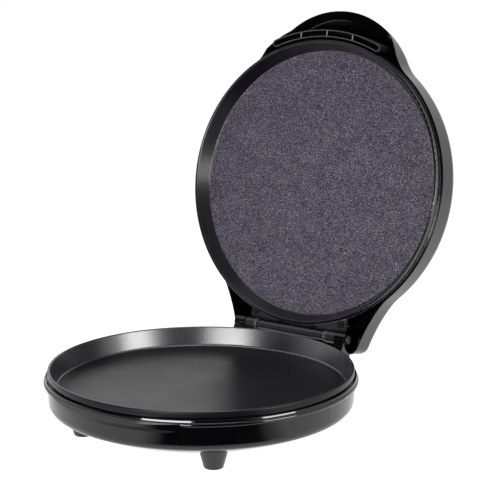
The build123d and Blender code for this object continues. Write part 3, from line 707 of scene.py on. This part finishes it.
def arc(
    centre: tuple[float, float], radius: float, start_deg: float, end_deg: float, steps: int = 6
) -> list[tuple[float, float]]:
    """Return the points of an arc in a section, both ends among them.

    Args:
        centre: Its centre, as a radius and a level.
        radius: The arc's radius.
        start_deg: Where it starts, counted from outwards and up.
        end_deg: Where it ends.
        steps: The number of its straight steps.

    Returns:
        Radius and level of each point.
    """
    turns = [math.radians(start_deg + (end_deg - start_deg) * i / steps) for i in range(steps + 1)]
    return [(centre[0] + radius * math.cos(t), centre[1] + radius * math.sin(t)) for t in turns]


def turned(
    name: str,
    axis_y_mm: float,
    section: list[tuple[float, float]],
    closed: bool = False,
    around: int = 240,
) -> bpy.types.Object:
    """Model a round piece: a circle is extruded ring by ring along its section.

    Args:
        name: The piece's name.
        axis_y_mm: Where its upright axis stands.
        section: Radius and level of each ring, in millimetres.
        closed: Whether the last ring meets the first; otherwise both ends are filled.
        around: The number of steps round the axis.

    Returns:
        The finished piece, with its place in its mesh.
    """
    deselect_all()
    radius, level = section[0]
    middle = (0.0, axis_y_mm * MM)
    bpy.ops.mesh.primitive_circle_add(
        vertices=around,
        radius=radius * MM,
        fill_type="NOTHING",
        location=(*middle, level * MM),
    )
    piece = bpy.context.object
    piece.name = piece.data.name = name
    bpy.ops.object.mode_set(mode="EDIT")
    bpy.ops.mesh.select_all(action="SELECT")
    rings = section[1:] + (section[:1] if closed else [])
    for next_radius, next_level in rings:
        bpy.ops.mesh.extrude_region_move()
        grow = next_radius / radius
        bpy.ops.transform.resize(value=(grow, grow, 1.0), center_override=(*middle, level * MM))
        bpy.ops.transform.translate(value=(0.0, 0.0, (next_level - level) * MM))
        radius, level = next_radius, next_level
    bpy.ops.mesh.select_all(action="SELECT")
    bpy.ops.mesh.remove_doubles(threshold=MERGE)
    if not closed:
        bpy.ops.mesh.fill_holes(sides=0)
    bpy.ops.mesh.select_all(action="SELECT")
    bpy.ops.mesh.normals_make_consistent(inside=False)
    bpy.ops.object.mode_set(mode="OBJECT")
    apply_place()
    smooth(TURNED_SMOOTH_DEG)
    return piece


@dataclass
class BakingPan:
    """The lower pan with its sloping wall, its rounded rim and its screw bosses.

    A face is floor, wall or rim by its level and by how far it faces up or towards the axis.
    """

    axis_y: float = PAN_AXIS_Y
    rim_radius: float = 155.0
    rim_level: float = 66.0
    rim_width: float = 2.9
    rim_round: float = 1.3
    band_level: float = 60.5
    body_radius: float = 152.9
    floor_radius: float = 147.6
    floor_level: float = 45.7
    floor_round: float = 2.5
    back_level: float = 41.7
    back_round: float = 2.0
    boss_ring: float = 72.0
    boss_radius: float = 5.5
    boss_level: float = 32.7
    boss_bevel: float = 0.4
    floor_facing: float = 0.99
    floor_margin: float = 0.2
    wall_facing: float = 0.5
    rim_facing: float = 0.75

    def section(self) -> list[tuple[float, float]]:
        """Work out the section, from the floor over the rim to the back.

        Returns:
            Radius and level of each point.
        """
        inner = self.rim_radius - self.rim_width
        lean = math.degrees(
            math.atan2(inner - self.floor_radius, self.rim_level - self.floor_level)
        )
        half = math.radians((90.0 - lean) / 2)
        flat = self.floor_radius - self.floor_round * math.tan(half)
        rim_middle = self.rim_radius - self.rim_round
        crest = self.rim_level - self.rim_round
        return [
            *arc((flat, self.floor_level + self.floor_round), self.floor_round, -90.0, -lean),
            *arc((inner + self.rim_round, crest), self.rim_round, 180.0 - lean, 90.0),
            *arc((rim_middle, crest), self.rim_round, 90.0, 0.0),
            (self.rim_radius, self.band_level),
            (self.body_radius, self.band_level),
            *arc(
                (self.body_radius - self.back_round, self.back_level + self.back_round),
                self.back_round,
                0.0,
                -90.0,
            ),
        ]

    def bosses(self) -> list[bpy.types.Object]:
        """Model one of the bosses that take the pan's screws, and copy it round the axis.

        Returns:
            The four bosses.
        """
        deselect_all()
        height = self.back_level - self.boss_level
        bpy.ops.mesh.primitive_cylinder_add(
            vertices=32,
            radius=self.boss_radius * MM,
            depth=height * MM,
            location=(0.0, self.axis_y * MM, (self.boss_level + height / 2) * MM),
        )
        boss = bpy.context.object
        bpy.ops.object.mode_set(mode="EDIT")
        bpy.ops.mesh.select_all(action="SELECT")
        bpy.ops.mesh.bevel(offset=self.boss_bevel * MM, segments=2)
        bpy.ops.object.mode_set(mode="OBJECT")
        apply_place()
        smooth(TURNED_SMOOTH_DEG)
        ways = [(1, 0), (0, 1), (-1, 0), (0, -1)]
        return spread(boss, [(x * self.boss_ring, y * self.boss_ring, 0.0) for x, y in ways])

    def slot(self, face: bpy.types.MeshPolygon) -> int:
        """Tell which coating a face of the turned pan wears.

        Args:
            face: The face.

        Returns:
            0 for the rim's side and the back, 1 for the rim's top, 2 for the wall, 3 for the floor.
        """
        from_axis = face.center - Vector((0.0, self.axis_y * MM, 0.0))
        inward = -(from_axis.x * face.normal.x + from_axis.y * face.normal.y)
        level = (self.floor_level + self.floor_margin) * MM
        if face.normal.z > self.floor_facing and face.center.z < level:
            return 3
        if inward > self.wall_facing * self.floor_radius * MM and face.normal.z > 0.0:
            return 2
        return 1 if face.normal.z > self.rim_facing else 0

    def build(self) -> bpy.types.Object:
        """Model the pan and give its floor, wall and rim their coatings.

        Returns:
            The pan, which stands for its CAD node.
        """
        pan = turned("baking_pan", self.axis_y, self.section())
        for finish in (PAN_SIDE_SHADED_COATING, PAN_COATING, PAN_WALL_COATING, PAN_FLOOR_COATING):
            pan.data.materials.append(finish.build())
        for face in pan.data.polygons:
            face.material_index = self.slot(face)
        bosses = self.bosses()
        # The bosses wear the side's shaded copy of the coating.
        for boss in bosses:
            boss.data.materials.append(pan.data.materials[0])
        pan = joined("baking_pan", [pan, *bosses])
        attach(pan, Body.BASE.value)
        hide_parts("lower_pan")
        LOG.info("baking_pan is modelled and coated")
        return pan


@dataclass
class BeadBand:
    """The steep, slightly crowned band on the bead's crest, which carries its long bright line."""

    axis_y: float = PAN_AXIS_Y
    crown_middle: tuple[float, float] = (145.8, 54.72)
    crown: float = 12.0
    lower_deg: float = 9.0
    upper_deg: float = 18.0
    thickness: float = 0.75

    def build(self, gloss: bpy.types.Material) -> None:
        """Model the band on the bead's crest.

        Args:
            gloss: The casing's finish.
        """
        face = arc(self.crown_middle, self.crown, self.lower_deg, self.upper_deg)
        top_radius, top_level = face[-1]
        low_radius, low_level = face[0]
        edge = self.thickness / 4
        back = [
            (top_radius - edge, top_level + edge),
            (top_radius - 2 * edge, top_level + edge),
            (top_radius - self.thickness, top_level),
            (top_radius - self.thickness, top_level - 2 * self.thickness),
            (low_radius - self.thickness, low_level),
        ]
        ring = turned("bead_band", self.axis_y, face + back, closed=True)
        ring.data.materials.append(gloss)
        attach(ring, Body.BASE.value)
        LOG.info("bead_band is modelled")


def rod_round(
    name: str,
    centre: tuple[float, float, float],
    path_radius: float,
    start_deg: float,
    sweep_deg: float,
    radius: float,
    steps: int = 48,
) -> bpy.types.Object:
    """Model a round rod that is bent along an arc in a level plane, in the closed lid's place.

    Args:
        name: The piece's name.
        centre: The arc's centre, in millimetres.
        path_radius: The arc's radius.
        start_deg: Where it starts, counted from +X towards +Y.
        sweep_deg: How far it runs.
        radius: The rod's own radius.
        steps: The number of its straight steps.

    Returns:
        The rod.
    """
    deselect_all()
    start = math.radians(start_deg)
    place = (
        (centre[0] + path_radius * math.cos(start)) * MM,
        (centre[1] + path_radius * math.sin(start)) * MM,
        centre[2] * MM,
    )
    bpy.ops.mesh.primitive_circle_add(
        vertices=12,
        radius=radius * MM,
        fill_type="NGON",
        location=place,
        rotation=(math.pi / 2, 0.0, start),
    )
    rod = bpy.context.object
    rod.name = rod.data.name = name
    apply_place()
    bpy.ops.object.mode_set(mode="EDIT")
    bpy.ops.mesh.select_all(action="SELECT")
    bpy.ops.mesh.spin(
        steps=steps,
        angle=-math.radians(sweep_deg),
        center=[value * MM for value in centre],
        axis=(0, 0, 1),
    )
    bpy.ops.mesh.select_all(action="SELECT")
    bpy.ops.mesh.remove_doubles(threshold=MERGE)
    bpy.ops.mesh.normals_make_consistent(inside=False)
    bpy.ops.object.mode_set(mode="OBJECT")
    smooth(ROUND_SMOOTH_DEG)
    return rod


@dataclass
class GuardTrim:
    """The rounded lips of the guard strip and of its three ribs.

    They are modelled where the closed lid has them and then turned with it.
    """

    axis_y: float = PAN_AXIS_Y
    path_radius: float = 163.05
    half_width: float = 4.15
    wall: float = 1.5
    half_angle: float = 23.5
    front: float = 66.3
    proud: float = 0.12
    overlap: float = 0.03
    rib_pitch: float = 33.2
    rib_width: float = 1.2
    rib_setback: float = 0.4
    rib_sink: float = 0.3

    def lips(self) -> list[bpy.types.Object]:
        """Model the lip that runs round the strip's front.

        Returns:
            The two long sides and the two round ends.
        """
        lip = self.wall / 2 + self.overlap
        level = self.front + lip - self.proud
        inset = self.half_width - self.wall / 2
        start, sweep = 270.0 - self.half_angle, 2 * self.half_angle
        middle = (0.0, self.axis_y, level)
        pieces = [
            rod_round("lip", middle, self.path_radius + side * inset, start, sweep, lip)
            for side in (-1, 1)
        ]
        for side in (-1, 1):
            turn = math.radians(270.0 + side * self.half_angle)
            middle = (
                self.path_radius * math.cos(turn),
                self.axis_y + self.path_radius * math.sin(turn),
                level,
            )
            begin = math.degrees(turn) + (0.0 if side > 0 else 180.0)
            pieces.append(rod_round("lip", middle, inset, begin, 180.0, lip, steps=16))
        return pieces

    def ribs(self) -> list[bpy.types.Object]:
        """Model the middle rib's lip and copy it to the other ribs.

        Returns:
            The three lips.
        """
        lip = self.rib_width / 2 + self.overlap
        length = 2 * self.half_width - 2 * self.wall
        level = self.front + self.rib_setback + self.rib_sink
        deselect_all()
        bpy.ops.mesh.primitive_cylinder_add(
            vertices=16,
            radius=lip * MM,
            depth=length * MM,
            location=(0.0, (self.axis_y - self.path_radius) * MM, level * MM),
            rotation=(math.pi / 2, 0.0, 0.0),
        )
        middle = bpy.context.object
        apply_place()
        smooth(ROUND_SMOOTH_DEG)
        drop = self.path_radius - math.sqrt(self.path_radius**2 - self.rib_pitch**2)
        sides = [(side * self.rib_pitch, drop, 0.0) for side in (-1, 1)]
        return spread(middle, [(0.0, 0.0, 0.0), *sides])

    def build(self, edge: bpy.types.Material, rib: bpy.types.Material) -> None:
        """Model the lips and turn them to the open lid's place.

        Args:
            edge: The finish of the strip's own lip, a lighter grey as a painted highlight.
            rib: The finish of the ribs' lips, a lighter grey as a painted highlight.
        """
        lips, ribs = self.lips(), self.ribs()
        for pieces, finish in ((lips, edge), (ribs, rib)):
            for piece in pieces:
                piece.data.materials.clear()
                piece.data.materials.append(finish)
        trim = joined("guard_trim", lips + ribs)
        hinge = Vector((0.0, HINGE[0] * MM, HINGE[1] * MM))
        opening = Matrix.Rotation(math.radians(-OPEN_DEG), 4, "X")
        trim.matrix_world = Matrix.Translation(hinge) @ opening @ Matrix.Translation(-hinge)
        select_only(trim)
        apply_place()
        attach(trim, Body.LID.value)
        LOG.info("guard_trim is modelled")


@dataclass
class HingeBands:
    """The rounded collars of the barrels, and a dark ring between the barrels as painted shade at
    their seam.
    """

    collar_places: tuple[float, ...] = (-44.4, -46.4, 44.4, 46.4)
    collar_radius: float = 6.15
    collar_half_width: float = 0.5
    seam_ring_radius: float = 5.3
    seam_ring_half_width: float = 0.45

    def ring(self, radius: float, half_width: float) -> bpy.types.Object:
        """Model one rounded ring at the middle of the hinge's axis.

        Args:
            radius: Its outer radius.
            half_width: Half its width.

        Returns:
            The ring.
        """
        deselect_all()
        bpy.ops.mesh.primitive_torus_add(
            major_segments=48,
            minor_segments=12,
            major_radius=(radius - half_width) * MM,
            minor_radius=half_width * MM,
            location=(0.0, HINGE[0] * MM, HINGE[1] * MM),
            rotation=(0.0, math.pi / 2, 0.0),
        )
        apply_place()
        smooth(ROUND_SMOOTH_DEG)
        return bpy.context.object

    def build(self, bright: bpy.types.Material, washer: bpy.types.Material) -> None:
        """Model the rings.

        Args:
            bright: The finish of the collars' edges, a lighter grey as a painted highlight.
            washer: The finish of the dark ring at the seam, as painted shade.
        """
        collar = self.ring(self.collar_radius, self.collar_half_width)
        rings = spread(collar, [(x, 0.0, 0.0) for x in self.collar_places])
        collars = joined("barrel_collars", rings)
        collars.data.materials.append(bright)
        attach(collars, Body.LID.value)
        # A dark ring at the barrels' seam: painted shade where the two barrels meet.
        between = self.ring(self.seam_ring_radius, self.seam_ring_half_width)
        between.name = between.data.name = "barrel_seam_shade_ring"
        between.data.materials.append(washer)
        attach(between, Body.LID.value)
        LOG.info("barrel_collars and barrel_seam_shade_ring are modelled")


@dataclass
class Base:
    """The base: its casing, its pan, its feet and what lies inside."""

    def build(self) -> None:
        """Dress every piece of the base."""
        gloss = GLOSS_ABS.build()
        dress(gloss, "base_housing")
        BakingPan().build()
        BeadBand().build(gloss)
        feet = [f"foot_{end}_{side}" for end in ("front", "rear") for side in ("left", "right")]
        dress(SATIN_ABS.build(), *feet, "hinge_cap_left", "hinge_cap_right")
        steel = ZINC_STEEL.build()
        dress(steel, "foot_screws", "lower_pan_screws", "hinge_rod", "lower_element_clips")
        dress(RUBBER.build(), "foot_pads", "cord_inlet")
        dress(HEATER_STEEL.build(), "lower_heating_element")
        dress(ALUMINIUM_SHEET.build(), "lower_reflector")
        dress(PHENOLIC.build(), "lower_thermostat", "thermal_fuse")
        dress(NYLON.build(), "terminal_block")


@dataclass
class Lid:
    """The lid: its casing, its plate, the hinge's moving half, the guard and the lights."""

    def build(self) -> None:
        """Dress every piece of the lid."""
        Skin("lid_housing", Body.LID).build(GLOSS_ABS.build())
        dress(SPECKLE_COATING.build(), "upper_pan")
        dress(GUARD_NYLON.build_for("handle_guard"), "handle_guard")
        GuardTrim().build(EDGE_HIGHLIGHT_NYLON.build(), RIB_HIGHLIGHT_NYLON.build())
        HingeBands().build(BAND_HIGHLIGHT_ENAMEL.build(), RUBBER.build())
        dress(HINGE_ENAMEL.build(), "hinge_barrel_left", "hinge_barrel_right", "lid_hinge_plate")
        dress(BLACKENED_STEEL.build(), "lid_hinge_screws")
        dress(ZINC_STEEL.build(), "upper_pan_screws", "upper_element_clips", "lamp_bracket")
        dress(ALUMINIUM_SHEET.build(), "lid_frame", "upper_reflector")
        dress(HEATER_STEEL.build(), "upper_heating_element")
        dress(PHENOLIC.build(), "upper_thermostat")
        dress(RED_LENS.build(), "power_lens")
        dress(GREEN_LENS.build(), "ready_lens")
        dress(LAMP_GLASS.build(), "indicator_lamps")


@dataclass(frozen=True)
class Softbox:
    """One softbox: where it hangs, the point it faces, its width and height, and its watts."""

    name: str
    place: tuple[float, float, float]
    aim: tuple[float, float, float]
    size: tuple[float, float]
    watts: float

    def hang(self) -> None:
        """Hang the softbox, unseen by the camera."""
        lamp = bpy.data.lights.new(self.name, "AREA")
        lamp.shape = "RECTANGLE"
        lamp.size, lamp.size_y = self.size
        lamp.energy = self.watts
        holder = bpy.data.objects.new(self.name, lamp)
        bpy.context.scene.collection.objects.link(holder)
        holder.location = self.place
        turn = (Vector(self.aim) - Vector(self.place)).to_track_quat("-Z", "Y")
        holder.rotation_mode = "QUATERNION"
        holder.rotation_quaternion = turn
        holder.visible_camera = False


@dataclass
class Studio:
    """The floor, the room, the softboxes, the black cloth and the camera.

    A sector is a list of azimuths, counted from the front and positive to the right, each with
    whether the cloth is there.
    """

    camera_place: tuple[float, float, float] = (0.88302, -1.21414, 0.4874)
    camera_azimuth_deg: float = 35.7
    camera_pitch_deg: float = 11.34
    camera_clip: tuple[float, float] = (0.05, 50.0)
    lens_mm: float = 112.1
    sensor_mm: float = 36.0
    floor_size: float = 60.0
    floor_white: str = "#f4f4f4"
    floor_glow: float = 0.93
    room_grey: str = "#5a5a5c"
    softboxes: tuple[Softbox, ...] = (
        Softbox("front_softbox", (0.38, -1.6, 0.29), (0.0, -0.05, 0.1), (0.95, 0.4), 30.0),
        Softbox("right_softbox", (1.6, -0.03, 0.29), (0.0, -0.05, 0.1), (0.7, 0.42), 16.0),
        Softbox("top_softbox", (-0.3, 0.25, 1.8), (0.0, 0.0, 0.1), (0.8, 0.8), 5.0),
    )
    base_middle: tuple[float, float] = (0.0, -0.0523)
    cloth_black: str = "#050505"
    cloth_start: float = 0.18
    cloth_feather: float = 0.03
    cloth_reach: float = 2.6
    cloth_height: float = 3.0
    cloth_lift: float = 0.001
    lying_sector: tuple[tuple[float, int], ...] = ((6.5, 0), (19.0, 1), (66.0, 1), (82.0, 0))
    hanging_sector: tuple[tuple[float, int], ...] = (
        (-65.0, 0),
        (-38.0, 1),
        (66.0, 1),
        (82.0, 0),
    )
    hanging_start: float = 0.15
    hanging_feather: float = 0.1

    def seen_directly(self, tree: Tree) -> Socket:
        """Add the test for what the camera, metal and glass see.

        Args:
            tree: The node tree.

        Returns:
            A socket that is 1 for camera, glossy and transmitted rays.
        """
        path = add_node(tree, "ShaderNodeLightPath")
        either = add_node(
            tree,
            "ShaderNodeMath",
            settings={"operation": "MAXIMUM"},
            links={0: path.outputs["Is Camera Ray"], 1: path.outputs["Is Glossy Ray"]},
        ).outputs["Value"]
        return add_node(
            tree,
            "ShaderNodeMath",
            settings={"operation": "MAXIMUM"},
            links={0: either, 1: path.outputs["Is Transmission Ray"]},
        ).outputs["Value"]

    def floor(self) -> None:
        """Lay a plain white floor that keeps the object's shadow."""
        deselect_all()
        bpy.ops.mesh.primitive_plane_add(size=self.floor_size, location=(0, 0, 0))
        floor = bpy.context.object
        floor.name = "studio_floor"
        material = bpy.data.materials.new("white_paper_floor")
        tree = empty_tree(material)
        paper = add_node(
            tree, "ShaderNodeBsdfDiffuse", values={"Color": linear(self.floor_white)}
        ).outputs["BSDF"]
        glow = add_node(
            tree,
            "ShaderNodeMath",
            settings={"operation": "MULTIPLY"},
            values={1: self.floor_glow},
            links={0: self.seen_directly(tree)},
        ).outputs["Value"]
        light = add_node(
            tree, "ShaderNodeEmission", values={"Color": WHITE}, links={"Strength": glow}
        ).outputs["Emission"]
        both = add_node(tree, "ShaderNodeAddShader", links={0: paper, 1: light}).outputs["Shader"]
        add_node(tree, "ShaderNodeOutputMaterial", links={"Surface": both})
        floor.data.materials.append(material)

    def world(self) -> None:
        """Give the room its light: white where it is seen, grey where it only lights."""
        world = bpy.data.worlds.new("studio_world")
        bpy.context.scene.world = world
        tree = empty_tree(world)
        room = add_node(
            tree, "ShaderNodeBackground", values={"Color": linear(self.room_grey), "Strength": 1.0}
        ).outputs["Background"]
        white = add_node(
            tree, "ShaderNodeBackground", values={"Color": WHITE, "Strength": 1.0}
        ).outputs["Background"]
        mixed = add_node(
            tree, "ShaderNodeMixShader", links={0: self.seen_directly(tree), 1: room, 2: white}
        ).outputs["Shader"]
        add_node(tree, "ShaderNodeOutputWorld", links={"Surface": mixed})

    def sector(self, tree: Tree, around: Socket, edges: tuple[tuple[float, int], ...]) -> Socket:
        """Add the mask of one sector round the base's middle.

        Args:
            tree: The cloth's nodes.
            around: The share of a full turn, which is a half at the front.
            edges: The sector.

        Returns:
            The mask's socket.
        """
        stops = [(0.5 + azimuth / 360.0, WHITE if on else BLACK) for azimuth, on in edges]
        return ramp(tree, around, stops)

    def cloth(self) -> bpy.types.Material:
        """Build the black cloth, which is clear outside its two sectors.

        Returns:
            The finished material.
        """
        material = bpy.data.materials.new("black_flock_cloth")
        tree = empty_tree(material)
        place = add_node(tree, "ShaderNodeTexCoord").outputs["Object"]
        facing = add_node(
            tree,
            "ShaderNodeMapping",
            values={"Rotation": (0.0, 0.0, math.pi / 2)},
            links={"Vector": place},
        ).outputs["Vector"]
        around = add_node(
            tree,
            "ShaderNodeTexGradient",
            settings={"gradient_type": "RADIAL"},
            links={"Vector": facing},
        ).outputs["Fac"]
        away = add_node(
            tree, "ShaderNodeVectorMath", settings={"operation": "LENGTH"}, links={0: place}
        ).outputs["Value"]
        level = add_node(tree, "ShaderNodeSeparateXYZ", links={0: place}).outputs["Z"]
        shares = []
        for edges, distance, start, feather in (
            (self.lying_sector, away, self.cloth_start, self.cloth_feather),
            (self.hanging_sector, level, self.hanging_start, self.hanging_feather),
        ):
            fade = add_node(
                tree,
                "ShaderNodeMapRange",
                values={"From Min": start, "From Max": start + feather},
                links={"Value": distance},
            ).outputs["Result"]
            share = add_node(
                tree,
                "ShaderNodeMath",
                settings={"operation": "MULTIPLY"},
                links={0: self.sector(tree, around, edges), 1: fade},
            ).outputs["Value"]
            shares.append(share)
        either = add_node(
            tree,
            "ShaderNodeMath",
            settings={"operation": "MAXIMUM"},
            links=dict(enumerate(shares)),
        ).outputs["Value"]
        flock = add_node(
            tree, "ShaderNodeBsdfDiffuse", values={"Color": linear(self.cloth_black)}
        ).outputs["BSDF"]
        air = add_node(tree, "ShaderNodeBsdfTransparent").outputs["BSDF"]
        mixed = add_node(
            tree, "ShaderNodeMixShader", links={0: either, 1: air, 2: flock}
        ).outputs["Shader"]
        add_node(tree, "ShaderNodeOutputMaterial", links={"Surface": mixed})
        return material

    def dark_cove(self) -> None:
        """Hang a black cloth before the object, seen in reflections alone.

        It lies on the floor in one sector round the base's middle, and hangs behind the camera
        in a wider one.
        """
        deselect_all()
        bpy.ops.mesh.primitive_circle_add(
            vertices=96,
            radius=self.cloth_start,
            fill_type="NOTHING",
            location=(*self.base_middle, self.cloth_lift),
        )
        cove = bpy.context.object
        cove.name = "dark_cove"
        bpy.ops.object.mode_set(mode="EDIT")
        bpy.ops.mesh.select_all(action="SELECT")
        bpy.ops.mesh.extrude_region_move()
        grow = self.cloth_reach / self.cloth_start
        bpy.ops.transform.resize(
            value=(grow, grow, 1.0), center_override=(*self.base_middle, 0.0)
        )
        bpy.ops.mesh.extrude_region_move(
            TRANSFORM_OT_translate={"value": (0.0, 0.0, self.cloth_height)}
        )
        bpy.ops.object.mode_set(mode="OBJECT")
        cove.data.materials.append(self.cloth())
        cove.visible_camera = False
        cove.visible_diffuse = False
        cove.visible_shadow = False

    def camera(self) -> None:
        """Set the camera at the photograph's place."""
        data = bpy.data.cameras.new("camera")
        camera = bpy.data.objects.new("camera", data)
        bpy.context.scene.collection.objects.link(camera)
        data.sensor_width = self.sensor_mm
        data.lens = self.lens_mm
        data.clip_start, data.clip_end = self.camera_clip
        camera.location = self.camera_place
        azimuth = math.radians(self.camera_azimuth_deg)
        pitch = math.radians(self.camera_pitch_deg)
        ahead = Vector((math.sin(azimuth), -math.cos(azimuth), 0.0)) * math.cos(pitch)
        back = ahead + Vector((0.0, 0.0, math.sin(pitch)))
        camera.rotation_mode = "QUATERNION"
        camera.rotation_quaternion = (-back).to_track_quat("-Z", "Y")
        bpy.context.scene.camera = camera

    def build(self) -> None:
        """Build the whole studio."""
        self.floor()
        self.world()
        for softbox in self.softboxes:
            softbox.hang()
        self.dark_cove()
        self.camera()
        bpy.context.scene.view_settings.view_transform = "Standard"


def main() -> None:
    """Dress the part and build the studio."""
    logging.basicConfig(level=logging.INFO, format="%(message)s")
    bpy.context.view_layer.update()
    Base().build()
    Lid().build()
    Studio().build()


if __name__ == "__main__":
    main()
